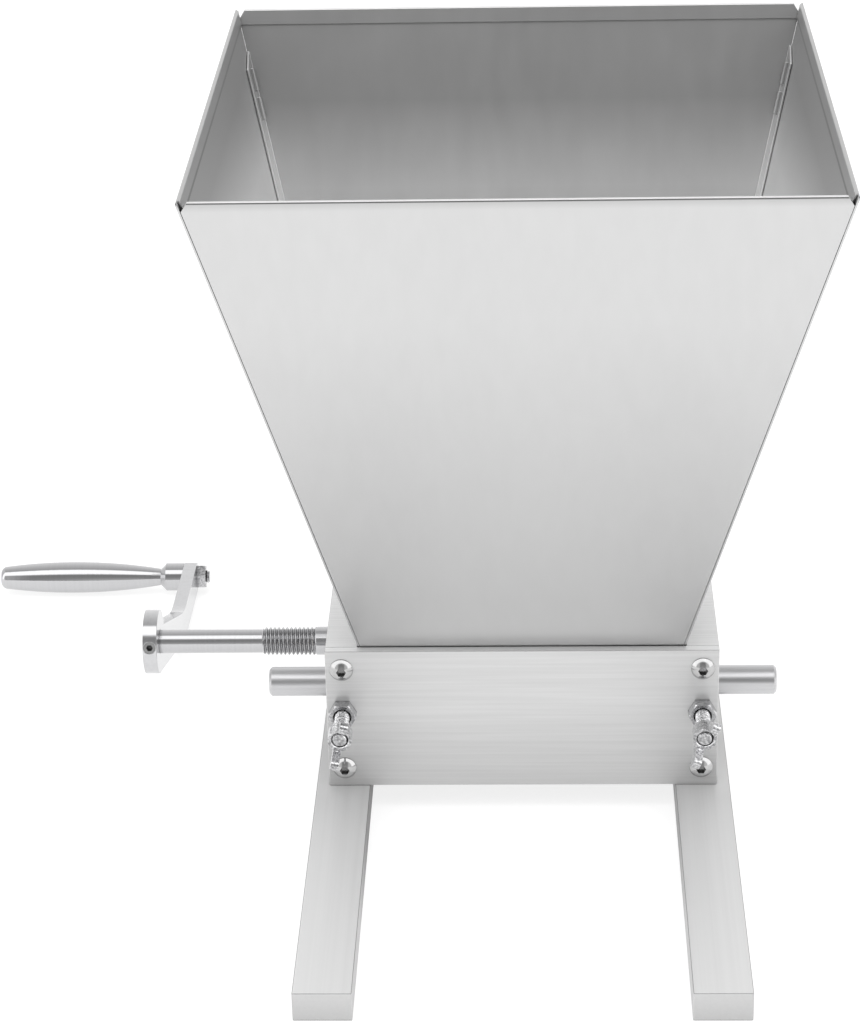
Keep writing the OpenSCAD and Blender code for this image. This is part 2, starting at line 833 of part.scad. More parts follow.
module adjuster_screw(side) {
    translate([side * plate_x, 0, axis_z]) rod_y(adjuster_d, adjuster_end_y, adjuster_tip_y);
}

module left_adjuster_screw() {
    color(steel) adjuster_screw(-1);
}

module right_adjuster_screw() {
    color(steel) adjuster_screw(1);
}

// Countersunk mouth of a bore that an adjuster screw passes through, opening towards the front.
module bore_mouth() {
    mouth_d = adjuster_d + 2 * (mouth_depth + overcut);
    translate([0, -overcut, 0]) rotate([-90, 0, 0])
        cylinder(d1 = mouth_d, d2 = adjuster_d, h = mouth_depth + overcut);
}

// One wing in section, as distance from the screw's axis and distance in front of its end.
module wing_section() {
    root_r = adjuster_d / 2 + wing_tip_r / 4;
    polygon([
        [root_r, -wing_collar_l], [root_r, -wing_tip_r / 2],
        [wing_reach - wing_tip_r, wing_flare], [wing_reach, wing_flare + wing_tip_r],
        [wing_reach + wing_tip_r, wing_flare], [wing_collar_d / 2, -wing_collar_l]
    ]);
    translate([wing_reach, wing_flare]) circle(r = wing_tip_r);
}

// Winged collar fixed on the end of an adjuster screw.
module wing(side, lean) {
    color(steel)
        translate([side * plate_x, adjuster_end_y, axis_z]) rotate([0, lean, 0])
            difference() {
                union() {
                    rod_y(wing_collar_d, 0, wing_collar_l);
                    for (half = [0, 180])
                        rotate([0, half, 0]) rotate([90, 0, 90])
                            linear_extrude(wing_t, center = true) rotate(90) wing_section();
                }
                rod_y(adjuster_d + 2 * seat_clear, -wing_reach, wing_collar_l + overcut);
                bore_mouth();
            }
}

module left_wing() {
    wing(-1, left_wing_lean);
}

module right_wing() {
    wing(1, right_wing_lean);
}

// Lock nut against the front plate.
module lock_nut(side) {
    color(steel)
        translate([side * plate_x, front_y, axis_z])
            difference() {
                nut_blank(nut_af, nut_t);
                rod_y(adjuster_d + 2 * thread_clear, -nut_t - overcut, overcut);
                translate([0, -nut_t, 0]) bore_mouth();
            }
}

module left_lock_nut() {
    lock_nut(-1);
}

module right_lock_nut() {
    lock_nut(1);
}

left_leg();
right_leg();
leg_screws();
left_end_plate();
right_end_plate();
front_plate();
rear_plate();
front_plate_screws();
rear_plate_screws();
hopper_front_panel();
hopper_rear_panel();
hopper_left_panel();
hopper_right_panel();
left_drive_bush();
right_drive_bush();
drive_shaft();
drive_roller();
crank();
crank_set_screw();
grip_spindle();
grip_spindle_nut();
grip();
idler_axle();
idler_roller();
left_bearing_block();
right_bearing_block();
left_block_bush();
right_block_bush();
left_adjuster_screw();
right_adjuster_screw();
left_wing();
right_wing();
left_lock_nut();
right_lock_nut();
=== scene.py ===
"""Looks of a hand cranked grain roller mill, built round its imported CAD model."""
import json
import math

import bmesh
import bpy
from mathutils import Matrix, Vector

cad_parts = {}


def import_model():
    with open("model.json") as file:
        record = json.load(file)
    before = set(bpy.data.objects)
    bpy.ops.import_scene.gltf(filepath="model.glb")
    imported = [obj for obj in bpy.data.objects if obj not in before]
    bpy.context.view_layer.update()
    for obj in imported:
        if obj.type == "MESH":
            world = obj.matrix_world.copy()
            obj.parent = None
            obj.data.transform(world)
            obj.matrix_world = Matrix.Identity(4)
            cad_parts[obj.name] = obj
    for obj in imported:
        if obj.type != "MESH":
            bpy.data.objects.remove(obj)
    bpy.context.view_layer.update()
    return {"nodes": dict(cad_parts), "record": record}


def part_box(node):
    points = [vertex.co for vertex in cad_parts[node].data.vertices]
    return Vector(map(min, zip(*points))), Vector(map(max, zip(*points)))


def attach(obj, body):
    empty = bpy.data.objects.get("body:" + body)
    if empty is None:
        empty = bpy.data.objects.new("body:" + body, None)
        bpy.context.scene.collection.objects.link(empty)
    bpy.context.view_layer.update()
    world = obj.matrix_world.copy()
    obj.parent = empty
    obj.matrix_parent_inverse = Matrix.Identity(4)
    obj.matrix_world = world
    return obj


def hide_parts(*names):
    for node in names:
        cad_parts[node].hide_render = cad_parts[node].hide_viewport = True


MM = 0.001

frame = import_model()
nodes = frame["nodes"]
body_of_node = {
    node: body for body, members in frame["record"]["behaviour"]["bodies"].items() for node in members
}
slot_of_node = {part["node"]: part["material_slot"] for part in frame["record"]["subparts"]}

# Places in the frame that others are measured from, in metres
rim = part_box("hopper_right_panel")[1]
hopper_front_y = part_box("hopper_front_panel")[0].y
front_face_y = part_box("front_plate")[0].y
leg_low, leg_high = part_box("right_leg")


def inside(edge, *depths):
    """Places that many millimetres from an edge towards the middle of the mill."""
    return [edge - math.copysign(depth * MM, edge) for depth in depths]


# Shader nodes, each made by a function that gives back its output

NOISE_MIDDLE = (0.3, 0.7)


def streaks(tree, stretch, detail):
    """Noise in the object's own metres, drawn out along each axis with a low number in stretch."""
    place = tree.nodes.new("ShaderNodeTexCoord")
    mapping = tree.nodes.new("ShaderNodeMapping")
    mapping.inputs["Scale"].default_value = stretch
    noise = tree.nodes.new("ShaderNodeTexNoise")
    noise.inputs["Scale"].default_value = 1.0
    noise.inputs["Detail"].default_value = detail
    tree.links.new(place.outputs["Object"], mapping.inputs["Vector"])
    tree.links.new(mapping.outputs["Vector"], noise.inputs["Vector"])
    return noise.outputs["Fac"]


def parts_of(tree, output):
    """The three parts of one of the object's own coordinates."""
    place = tree.nodes.new("ShaderNodeTexCoord")
    parts = tree.nodes.new("ShaderNodeSeparateXYZ")
    tree.links.new(place.outputs[output], parts.inputs["Vector"])
    return parts.outputs


def ranged(tree, value, start, end, first, last):
    """A value that goes from first to last while another goes from start to end."""
    ramp = tree.nodes.new("ShaderNodeMapRange")
    ramp.inputs["From Min"].default_value = start
    ramp.inputs["From Max"].default_value = end
    ramp.inputs["To Min"].default_value = first
    ramp.inputs["To Max"].default_value = last
    tree.links.new(value, ramp.inputs["Value"])
    return ramp.outputs["Result"]


def past(tree, value, start, end):
    """One where a value is past the end, none where it is before the start, and a blend between."""
    return ranged(tree, value, start, end, 0.0, 1.0)


def before(tree, value, start, end):
    """One where a value is before the start, none where it is past the end, and a blend between."""
    return ranged(tree, value, start, end, 1.0, 0.0)


def spread(tree, noise, low, high):
    """The middle of a noise's range, spread from low to high."""
    return ranged(tree, noise, *NOISE_MIDDLE, low, high)


def worked(tree, operation, *values):
    """What a math node makes of one or two values."""
    sums = tree.nodes.new("ShaderNodeMath")
    sums.operation = operation
    for socket, value in zip(sums.inputs, values):
        tree.links.new(value, socket)
    return sums.outputs["Value"]


def size_of(tree, value):
    """A value without its sign."""
    return worked(tree, "ABSOLUTE", value)


def product(tree, *values):
    """Some values times each other."""
    result = values[0]
    for value in values[1:]:
        result = worked(tree, "MULTIPLY", result, value)
    return result


def blend(tree, share, first, last):
    """A value between two others."""
    mix = tree.nodes.new("ShaderNodeMix")
    tree.links.new(share, mix.inputs["Factor"])
    for name, value in (("A", first), ("B", last)):
        if isinstance(value, float):
            mix.inputs[name].default_value = value
        else:
            tree.links.new(value, mix.inputs[name])
    return mix.outputs["Result"]


def between(tree, share, dark, light):
    """A colour between two others."""
    mix = tree.nodes.new("ShaderNodeMix")
    mix.data_type = "RGBA"
    mix.inputs["A"].default_value = (*dark, 1)
    mix.inputs["B"].default_value = (*light, 1)
    tree.links.new(share, mix.inputs["Factor"])
    return mix.outputs["Result"]


def scaled(tree, colour, share):
    """A colour times a number."""
    times = tree.nodes.new("ShaderNodeVectorMath")
    times.operation = "SCALE"
    tree.links.new(colour, times.inputs["Vector"])
    tree.links.new(share, times.inputs["Scale"])
    return times.outputs["Vector"]


# Painted light and shade, given as shares of a material's colour
# A name that ends in X, Y or Z is a span of places, and one in RISE or SIDEWAYS is a span of facing

# Where the painted light and shade on the hopper's sheet goes, and how light or dark it is
SIDE_HEM_X = inside(rim.x, 4.5, 3.0)
SHEET_SIDEWAYS = (0.4, 0.6)
SHEET_INSIDE_RISE = (-0.05, 0.05)
OUTSIDE_Z = inside(rim.z, 192, 52)
OUTSIDE_SHADE_TONES = (0.65, 0.83)
UNDER_RIM_Z = inside(rim.z, 4.0, 0.5)
UNDER_RIM_SHADE_TONES = (1.0, 0.8)
REAR_INSIDE_Z = inside(rim.z, 70, 36)
REAR_INSIDE_SHADE_TONES = (1.03, 0.57)
SIDE_INSIDE_Z = inside(rim.z, 52, 20)
SIDE_INSIDE_LIGHT_AND_SHADE_TONES = (1.28, 0.76)
SIDE_DEPTH_Y = inside(-rim.y, 20) + inside(rim.y, 60)
SIDE_DEPTH_SHADE_TONES = (1.03, 0.84)
# Painted highlight on the rim tops, with painted shade on the side hems' tops
RIM_RISE = (0.5, 0.8)
RIM_LIGHT_AND_SHADE_TONES = (1.1, 0.65)
# Painted shadow line under the edge of the side hems, inside
HEM_SHADOW_RISE = (0.0, 0.1)
HEM_SHADOW_END_Y = inside(rim.y, 5.3, 4.8)
HEM_SHADOW_LOW_Z = inside(rim.z, 6.0, 5.8)
HEM_SHADOW_HIGH_Z = inside(rim.z, 4.8, 4.4)
HEM_SHADOW_TONE = 0.45
# Painted dark reflection along the rounded fold of the front rim
FOLD_REFLECTION_Y = inside(hopper_front_y, 2.1, 2.7)
FOLD_REFLECTION_SIDEWAYS = (0.0, 0.5)
FOLD_REFLECTION_LOW_RISE = (-0.15, 0.1)
FOLD_REFLECTION_HIGH_RISE = (0.55, 0.75)
FOLD_REFLECTION_TONE = 0.3


def sheet_painted_shading(tree):
    """Painted light and shade on the hopper's sheet: shade towards the foot outside, lighter low down and
    darker towards the rim inside, a painted highlight on the rim tops and painted dark lines under the side
    hems and along the front fold.
    """
    place = parts_of(tree, "Object")
    facing = parts_of(tree, "Normal")
    height = place["Z"]
    rise = facing["Z"]
    sideways = past(tree, size_of(tree, facing["X"]), *SHEET_SIDEWAYS)
    # Painted shade outside, darker towards the foot and just under the rim
    outside = product(
        tree, ranged(tree, height, *OUTSIDE_Z, *OUTSIDE_SHADE_TONES),
        ranged(tree, height, *UNDER_RIM_Z, *UNDER_RIM_SHADE_TONES)
    )
    # Painted light and shade inside, darker towards the rim and, on the sides, towards the rear
    rear_inside = ranged(tree, height, *REAR_INSIDE_Z, *REAR_INSIDE_SHADE_TONES)
    side_inside = product(
        tree, ranged(tree, height, *SIDE_INSIDE_Z, *SIDE_INSIDE_LIGHT_AND_SHADE_TONES),
        ranged(tree, place["Y"], *SIDE_DEPTH_Y, *SIDE_DEPTH_SHADE_TONES)
    )
    inside = blend(tree, sideways, rear_inside, side_inside)
    wall = blend(tree, past(tree, rise, *SHEET_INSIDE_RISE), outside, inside)
    # Painted shadow line under the side hems' edge
    hem_shadow = product(
        tree, sideways, past(tree, rise, *HEM_SHADOW_RISE),
        before(tree, size_of(tree, place["Y"]), *HEM_SHADOW_END_Y),
        past(tree, height, *HEM_SHADOW_LOW_Z), before(tree, height, *HEM_SHADOW_HIGH_Z)
    )
    wall = blend(tree, hem_shadow, wall, HEM_SHADOW_TONE)
    # Painted highlight on the rim tops, painted shade on the side hems' tops
    rim = blend(tree, past(tree, size_of(tree, place["X"]), *SIDE_HEM_X), *RIM_LIGHT_AND_SHADE_TONES)
    sheet = blend(tree, past(tree, rise, *RIM_RISE), wall, rim)
    # Painted dark reflection along the front fold
    fold_reflection = product(
        tree, before(tree, place["Y"], *FOLD_REFLECTION_Y), before(tree, sideways, *FOLD_REFLECTION_SIDEWAYS),
        past(tree, rise, *FOLD_REFLECTION_LOW_RISE), before(tree, rise, *FOLD_REFLECTION_HIGH_RISE)
    )
    return blend(tree, fold_reflection, sheet, FOLD_REFLECTION_TONE)


# Painted shade along eased top edges
EDGE_SHADE_LOW_RISE = (0.30, 0.45)
EDGE_SHADE_HIGH_RISE = (0.85, 0.95)


def edge_shade(tree, rise):
    """Where painted shade goes along the eased edges round a top face: one there, and none elsewhere."""
    return product(tree, past(tree, rise, *EDGE_SHADE_LOW_RISE), before(tree, rise, *EDGE_SHADE_HIGH_RISE))


# Painted light and shade on the plates
PLATE_FACE_Z = (leg_high.z, leg_high.z + 38 * MM)
PLATE_FACE_SHADE_TONES = (0.64, 0.80)
PLATE_TOP_RISE = (0.5, 0.9)
PLATE_TOP_LIGHT_TONE = 1.0
PLATE_EDGE_SHADE_TONE = 0.5


def plate_painted_shading(tree):
    """Painted shading on a plate: shade towards the legs, painted light on its top, shade along its top
    edges.
    """
    rise = parts_of(tree, "Normal")["Z"]
    face = ranged(tree, parts_of(tree, "Object")["Z"], *PLATE_FACE_Z, *PLATE_FACE_SHADE_TONES)
    face = blend(tree, past(tree, rise, *PLATE_TOP_RISE), face, PLATE_TOP_LIGHT_TONE)
    return blend(tree, edge_shade(tree, rise), face, PLATE_EDGE_SHADE_TONE)


# Painted light and shade on the legs
BAR_END_Z = (leg_low.z, leg_high.z)
BAR_END_SHADE_TONES = (0.72, 0.86)
BAR_TOP_RISE = (0.2, 0.8)
BAR_TOP_LIGHT_TONE = 1.0
BAR_SIDEWAYS = (0.5, 0.9)
BAR_OUTER_SHADE_TONE = 0.65
BAR_INNER_TONE = 1.0
# A side faces inwards where its place along X times its facing along X is negative
BAR_INWARD = (-30 * MM, -20 * MM)
BAR_BODY_Y = (-front_face_y + 31.5 * MM, -front_face_y + 91.5 * MM)
BAR_LEFT_TO_RIGHT_X = (-10 * MM, 10 * MM)
BAR_BODY_SHADOW_TONES = (0.5, 0.7)
BAR_EDGE_SHADE_TONE = 0.4


def bar_painted_shading(tree):
    """Painted shading on a bar: shaded ends and outer sides, a lit top, painted shadow on its inner sides
    by the body, and painted shade along its top edges.
    """
    place = parts_of(tree, "Object")
    facing = parts_of(tree, "Normal")
    rise = facing["Z"]
    ends = ranged(tree, place["Z"], *BAR_END_Z, *BAR_END_SHADE_TONES)
    face = blend(tree, past(tree, rise, *BAR_TOP_RISE), ends, BAR_TOP_LIGHT_TONE)
    # Painted shadow on the inner sides, deepest by the body
    inward = before(tree, product(tree, place["X"], facing["X"]), *BAR_INWARD)
    body_shadow_share = before(tree, size_of(tree, place["Y"]), *BAR_BODY_Y)
    body_shadow_tone = ranged(tree, place["X"], *BAR_LEFT_TO_RIGHT_X, *BAR_BODY_SHADOW_TONES)
    inner = blend(tree, body_shadow_share, BAR_INNER_TONE, body_shadow_tone)
    sides = blend(tree, inward, BAR_OUTER_SHADE_TONE, inner)
    face = blend(tree, past(tree, size_of(tree, facing["X"]), *BAR_SIDEWAYS), face, sides)
    return blend(tree, edge_shade(tree, rise), face, BAR_EDGE_SHADE_TONE)


# Materials, all of them metal

SHELTER_SAMPLES = 8
SHELTER_SPAN = (0.2, 0.8)
GRAIN_DETAIL = 3.0
CLOUD_STRETCH = (14, 14, 14)
CLOUD_DETAIL = 2.0
CLOUD_ROUGH = 0.015
TINT_POWER = 3.0
RELIEF_DEPTH = 0.1 * MM
MORE_BLUE = 0.01


def hollows(tree, reach, deepest):
    """Painted shade: the deepest share in narrow hollows, where shade falls, and one on open faces."""
    shelter = tree.nodes.new("ShaderNodeAmbientOcclusion")
    shelter.samples = SHELTER_SAMPLES
    shelter.inputs["Distance"].default_value = reach
    return ranged(tree, shelter.outputs["AO"], *SHELTER_SPAN, deepest, 1.0)


def metal(name, dark, light, rough, stretch, bump, metallic=1.0, painted_shading=None, shade=None, tinted=False):
    """Metal with streaks that vary its colour, its roughness and its surface.

    Painted shading, when given, paints light and shade into its colour by place and facing. A shade, which
    is a reach and a deepest share, paints shade into its hollows. Tinted metal turns darker where it is
    seen at a low angle, most of all where it is dark.
    """
    material = bpy.data.materials.new(name)
    material.use_nodes = True
    tree = material.node_tree
    shader = tree.nodes["Principled BSDF"]
    shader.inputs["Metallic"].default_value = metallic
    grain = streaks(tree, stretch, GRAIN_DETAIL)
    clouds = streaks(tree, CLOUD_STRETCH, CLOUD_DETAIL)
    colour = between(tree, spread(tree, grain, 0, 1), dark, light)
    # Painted light and shade by place and facing
    if painted_shading:
        colour = scaled(tree, colour, painted_shading(tree))
    # Painted shade in the hollows
    if shade:
        colour = scaled(tree, colour, hollows(tree, *shade))
    tree.links.new(colour, shader.inputs["Base Color"])
    if tinted:
        deeper = tree.nodes.new("ShaderNodeGamma")
        deeper.inputs["Gamma"].default_value = TINT_POWER
        tree.links.new(colour, deeper.inputs["Color"])
        tree.links.new(deeper.outputs["Color"], shader.inputs["Specular Tint"])
    roughness = worked(
        tree, "ADD", spread(tree, grain, *rough), spread(tree, clouds, -CLOUD_ROUGH, CLOUD_ROUGH)
    )
    tree.links.new(roughness, shader.inputs["Roughness"])
    relief = tree.nodes.new("ShaderNodeBump")
    relief.inputs["Strength"].default_value = bump
    relief.inputs["Distance"].default_value = RELIEF_DEPTH
    tree.links.new(grain, relief.inputs["Height"])
    tree.links.new(relief.outputs["Normal"], shader.inputs["Normal"])
    return material


def grey(level):
    """A neutral grey."""
    return (level, level, level)


def steel(level):
    """A grey with a little more blue in it."""
    return (level, level, level + MORE_BLUE)


# Runs of streaks, in noise cells to the metre along X, Y and Z
ALONG_X = (14, 800, 800)
ALONG_Y = (900, 3, 900)
ALONG_Z = (160, 160, 3)
ROUND_X = (1200, 2, 2)
EVEN = (500, 500, 500)
CAST = (1100, 1100, 1100)

# Each has a dark and a light colour, a span of roughness, the run of its streaks and their strength
# A shade paints shade into hollows, and painted shading paints light and shade by place and facing
materials = {
    "legs": metal(
        "legs", grey(0.66), grey(0.69), (0.38, 0.44), ALONG_Y, 0.02,
        metallic=0.55, painted_shading=bar_painted_shading, shade=(1.5 * MM, 0.35), tinted=True
    ),
    "plates": metal(
        "plates", grey(0.735), grey(0.815), (0.34, 0.42), ALONG_X, 0.06, metallic=0.65, painted_shading=plate_painted_shading
    ),
    "blocks": metal(
        "blocks", (0.70, 0.71, 0.72), (0.80, 0.81, 0.82), (0.30, 0.40), ALONG_X, 0.12, metallic=0.8
    ),
    "screws": metal("screws", grey(0.46), grey(0.52), (0.10, 0.15), EVEN, 0.01, shade=(2.5 * MM, 0.05)),
    "dark_screws": metal("dark_screws", steel(0.10), steel(0.18), (0.30, 0.42), EVEN, 0.08),
    "hopper": metal(
        "hopper", grey(0.74), grey(0.76), (0.34, 0.37), ALONG_Z, 0.004,
        metallic=0.92, painted_shading=sheet_painted_shading, shade=(1.5 * MM, 0.5)
    ),
    "bushes": metal("bushes", (0.48, 0.30, 0.13), (0.66, 0.44, 0.22), (0.35, 0.50), EVEN, 0.20),
    "shafts": metal(
        "shafts", steel(0.53), steel(0.56), (0.15, 0.17), ROUND_X, 0.004, shade=(1.6 * MM, 0.12)
    ),
    "rollers": metal("rollers", steel(0.42), steel(0.56), (0.28, 0.40), EVEN, 0.10),
    "crank": metal("crank", steel(0.58), steel(0.62), (0.13, 0.17), EVEN, 0.004, shade=(2 * MM, 0.3)),
    "grip": metal("grip", steel(0.54), steel(0.56), (0.08, 0.09), ROUND_X, 0.002),
    "adjusters": metal(
        "adjusters", steel(0.34), steel(0.92), (0.10, 0.20), CAST, 0.70, shade=(2 * MM, 0.06)
    ),
    "nuts": metal("nuts", steel(0.34), steel(0.68), (0.12, 0.20), CAST, 0.40, shade=(3 * MM, 0.1)),
}
own_looks = {
    "idler_axle": metal("idler_axle", steel(0.53), steel(0.62), (0.29, 0.34), ALONG_X, 0.03),
}


# Ways to make a piece

WELD = 1e-6
FLAT_DEG = 0.5
SHARP_DEG = 50
EASE_SEGMENTS = 2
ROUND_PROFILE = 0.5
AXIS_X = Matrix(((0, 0, 1, 0), (1, 0, 0, 0), (0, 1, 0, 0), (0, 0, 0, 1)))
AXIS_Y = Matrix(((0, 1, 0, 0), (0, 0, 1, 0), (1, 0, 0, 0), (0, 0, 0, 1)))
shaped = set()


def made(name, work, node):
    """Turns a bmesh into a smooth piece that stands for a CAD node and rides on its body."""
    bmesh.ops.recalc_face_normals(work, faces=work.faces)
    if work.calc_volume(signed=True) < 0:
        bmesh.ops.reverse_faces(work, faces=work.faces)
    mesh = bpy.data.meshes.new(name)
    work.to_mesh(mesh)
    work.free()
    mesh.polygons.foreach_set("use_smooth", [True] * len(mesh.polygons))
    mesh.set_sharp_from_angle(angle=math.radians(SHARP_DEG))
    piece = bpy.data.objects.new(name, mesh)
    bpy.context.scene.collection.objects.link(piece)
    even = piece.modifiers.new("even", "WEIGHTED_NORMAL")
    even.keep_sharp = True
    mesh.materials.append(materials[slot_of_node[node]])
    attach(piece, body_of_node[node])
    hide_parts(node)
    shaped.add(node)
    return piece


def eased(node, ease, shortest=0.0):
    """A copy of a CAD node with its sharp edges eased, as filed or deburred metal has them.

    Edges under the shortest length are closed up first. Where none are, the easing stays within them.
    """
    work = bmesh.new()
    work.from_mesh(nodes[node].data)
    bmesh.ops.remove_doubles(work, verts=work.verts, dist=WELD)
    bmesh.ops.dissolve_limit(
        work, angle_limit=math.radians(FLAT_DEG), use_dissolve_boundaries=False,
        verts=work.verts, edges=work.edges
    )
    if shortest:
        bmesh.ops.dissolve_degenerate(work, dist=shortest, edges=work.edges)
    sharp = [
        edge for edge in work.edges
        if len(edge.link_faces) == 2 and edge.calc_face_angle(0) > math.radians(SHARP_DEG)
    ]
    bmesh.ops.bevel(
        work, geom=sharp, offset=ease, offset_type="OFFSET", segments=EASE_SEGMENTS,
        profile=ROUND_PROFILE, affect="EDGES", clamp_overlap=not shortest
    )
    made(node + ".eased", work, node)


def steps(low, high, count):
    """Evenly spaced places from low to high, both included."""
    return [low + (high - low) * i / count for i in range(count + 1)]


def middle(node):
    """Centre of a CAD node's box."""
    low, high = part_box(node)
    return (low + high) / 2


def along_x(node):
    """Puts what is turned round Z on a CAD node's own axis along X."""
    centre = middle(node)
    return Matrix.Translation((0, centre.y, centre.z)) @ AXIS_X


def along_y(node):
    """Puts what is turned round Z on a CAD node's own axis along Y."""
    centre = middle(node)
    return Matrix.Translation((centre.x, 0, centre.z)) @ AXIS_Y


def ring(work, place, station, sides, radius_at):
    """Vertices round an axis at a station along it, each at the radius that its number and angle give."""
    row = []
    for i in range(sides):
        angle = 2 * math.pi * i / sides
        radius = radius_at(i, angle)
        spot = Vector((radius * math.cos(angle), radius * math.sin(angle), station))
        row.append(work.verts.new(place @ spot))
    return row


def turned(node, stations, sides, radius_at, place):
    """A closed turned piece: a ring at each station along its axis, with its own radius all round."""
    work = bmesh.new()
    rings = []
    for station in stations:
        rings.append(ring(work, place, station, sides, lambda i, angle: radius_at(station, angle)))
    for low, high in zip(rings, rings[1:]):
        for i in range(sides):
            j = (i + 1) % sides
            work.faces.new((low[i], low[j], high[j], high[i]))
    work.faces.new(rings[0])
    work.faces.new(rings[-1])
    made(node + ".turned", work, node)


# Threads

CREST = 0.12
FLANK = 0.70
DEPTH_PER_PITCH = 0.58


def thread_depth(place, angle, pitch, from_end):
    """Depth of a V thread at a place along it and an angle round it, fading out over a pitch at its end."""
    turn = (place / pitch - angle / (2 * math.pi)) % 1.0
    flank = min(turn, 1.0 - turn) * 2
    cut = min(1.0, max(0.0, (flank - CREST) / FLANK))
    fade = min(1.0, max(0.0, from_end / pitch))
    return DEPTH_PER_PITCH * pitch * cut * fade


# Crank shaft, with its thread between a plain collar and a plain end

JOURNAL_R = 6 * MM
SHAFT_END_R = 5 * MM
SHAFT_CHAMFER = 1 * MM
SHAFT_PITCH = 1.75 * MM
COLLAR_LENGTH = 7.5 * MM
THREAD_LENGTH = 23.3 * MM
SHOULDER = 0.01 * MM
SHAFT_SIDES = 64
SHAFT_STEPS = 186

shaft_low, shaft_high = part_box("drive_shaft")
collar_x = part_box("left_end_plate")[0].x - COLLAR_LENGTH
thread_x = collar_x - THREAD_LENGTH


def shaft_radius(x, angle):
    """Radius of the crank shaft at a place along it and an angle round it."""
    if x <= thread_x:
        return SHAFT_END_R
    if x < thread_x + SHAFT_CHAMFER:
        outer = JOURNAL_R - (thread_x + SHAFT_CHAMFER - x)
    elif x > shaft_high.x - SHAFT_CHAMFER:
        outer = JOURNAL_R - (x - shaft_high.x + SHAFT_CHAMFER)
    else:
        outer = JOURNAL_R
    if x < collar_x:
        return min(outer, JOURNAL_R - thread_depth(x, angle, SHAFT_PITCH, collar_x - x))
    return outer


shaft_stations = [shaft_low.x, thread_x]
shaft_stations += steps(thread_x + SHOULDER, collar_x, SHAFT_STEPS)
shaft_stations += [shaft_high.x - SHAFT_CHAMFER, shaft_high.x]
turned("drive_shaft", shaft_stations, SHAFT_SIDES, shaft_radius, along_x("drive_shaft"))


# Rollers, with a diamond knurl

KNURL_DEPTH = 0.6 * MM
KNURL_CELLS = 54
KNURL_ROWS = 128
ROLLER_FIT = 0.02 * MM
ROLLER_BORE_R = JOURNAL_R + ROLLER_FIT
ROLLER_CHAMFER = 1 * MM


def knurled(node):
    """A roller with a bore, whose outside rises and falls from vertex to vertex."""
    low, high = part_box(node)
    outer_r = (high.z - low.z) / 2
    sides = 2 * KNURL_CELLS
    place = along_x(node)
    work = bmesh.new()

    def plain(x, radius):
        return ring(work, place, x, sides, lambda i, angle: radius)

    def cut(x, k):
        return ring(work, place, x, sides, lambda i, angle: outer_r - (KNURL_DEPTH if (i + k) % 2 else 0))

    rows = [plain(low.x, ROLLER_BORE_R), plain(low.x, outer_r - ROLLER_CHAMFER)]
    for k, x in enumerate(steps(low.x + ROLLER_CHAMFER, high.x - ROLLER_CHAMFER, KNURL_ROWS)):
        rows.append(cut(x, k))
    rows += [plain(high.x, outer_r - ROLLER_CHAMFER), plain(high.x, ROLLER_BORE_R)]
    for k, (near, far) in enumerate(zip(rows, rows[1:])):
        for i in range(sides):
            j = (i + 1) % sides
            if (i + k) % 2:
                work.faces.new((near[i], near[j], far[i]))
                work.faces.new((near[j], far[j], far[i]))
            else:
                work.faces.new((near[i], near[j], far[j]))
                work.faces.new((near[i], far[j], far[i]))
    for i in range(sides):
        j = (i + 1) % sides
        work.faces.new((rows[-1][i], rows[-1][j], rows[0][j], rows[0][i]))
    piece = made(node + ".knurled", work, node)
    piece.data.polygons.foreach_set("use_smooth", [False] * len(piece.data.polygons))


knurled("drive_roller")
knurled("idler_roller")


# Adjuster screws, threaded over their whole length outside the plate

SCREW_PITCH = 1 * MM
SCREW_CHAMFER = 0.6 * MM
SCREW_SIDES = 40
ADJUSTER_STEPS = 260


def adjuster(node):
    """An adjuster screw with a chamfered end and a thread up to the front plate."""
    low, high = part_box(node)
    outer_r = (high.z - low.z) / 2

    def radius_at(y, angle):
        if y >= front_face_y:
            return outer_r
        outer = outer_r - max(0, SCREW_CHAMFER - (y - low.y))
        return min(outer, outer_r - thread_depth(y, angle, SCREW_PITCH, front_face_y - y))

    stations = steps(low.y, front_face_y, ADJUSTER_STEPS) + [high.y]
    turned(node, stations, SCREW_SIDES, radius_at, along_y(node))


adjuster("left_adjuster_screw")
adjuster("right_adjuster_screw")


# The grip's spindle, with its threaded tail through the nut

TAIL_STEPS = 70

spindle_low, spindle_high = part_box("grip_spindle")
spindle_r = (spindle_high.z - spindle_low.z) / 2
nut_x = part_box("grip_spindle_nut")[0].x


def spindle_radius(x, angle):
    """Radius of the spindle at a place along it and an angle round it."""
    outer = spindle_r - max(0, SCREW_CHAMFER - (spindle_high.x - x))
    if x <= nut_x:
        return outer
    return min(outer, spindle_r - thread_depth(x, angle, SCREW_PITCH, x - nut_x))


spindle_stations = [spindle_low.x] + steps(nut_x, spindle_high.x, TAIL_STEPS)
turned("grip_spindle", spindle_stations, SCREW_SIDES, spindle_radius, along_x("grip_spindle"))


# The other pieces keep their CAD shape, many of them with eased edges

# Each node, how far its edges are eased and the longest edge that is closed up first, in millimetres
FREELY_EASED = (
    ("left_leg", 0.4, 0.2), ("right_leg", 0.4, 0.2),
    ("left_end_plate", 0.3, 0.15), ("right_end_plate", 0.3, 0.15),
    ("front_plate", 0.3, 0.15), ("rear_plate", 0.3, 0.15), ("crank", 0.2, 0.1),
    ("hopper_front_panel", 0.18, 0.03), ("hopper_rear_panel", 0.18, 0.03),
    ("hopper_left_panel", 0.18, 0.03), ("hopper_right_panel", 0.18, 0.03),
)
SLIGHTLY_EASED = ("left_wing", "right_wing", "left_lock_nut", "right_lock_nut", "grip_spindle_nut")
SLIGHT_EASE = 0.2 * MM

for node, ease, shortest in FREELY_EASED:
    eased(node, ease * MM, shortest * MM)

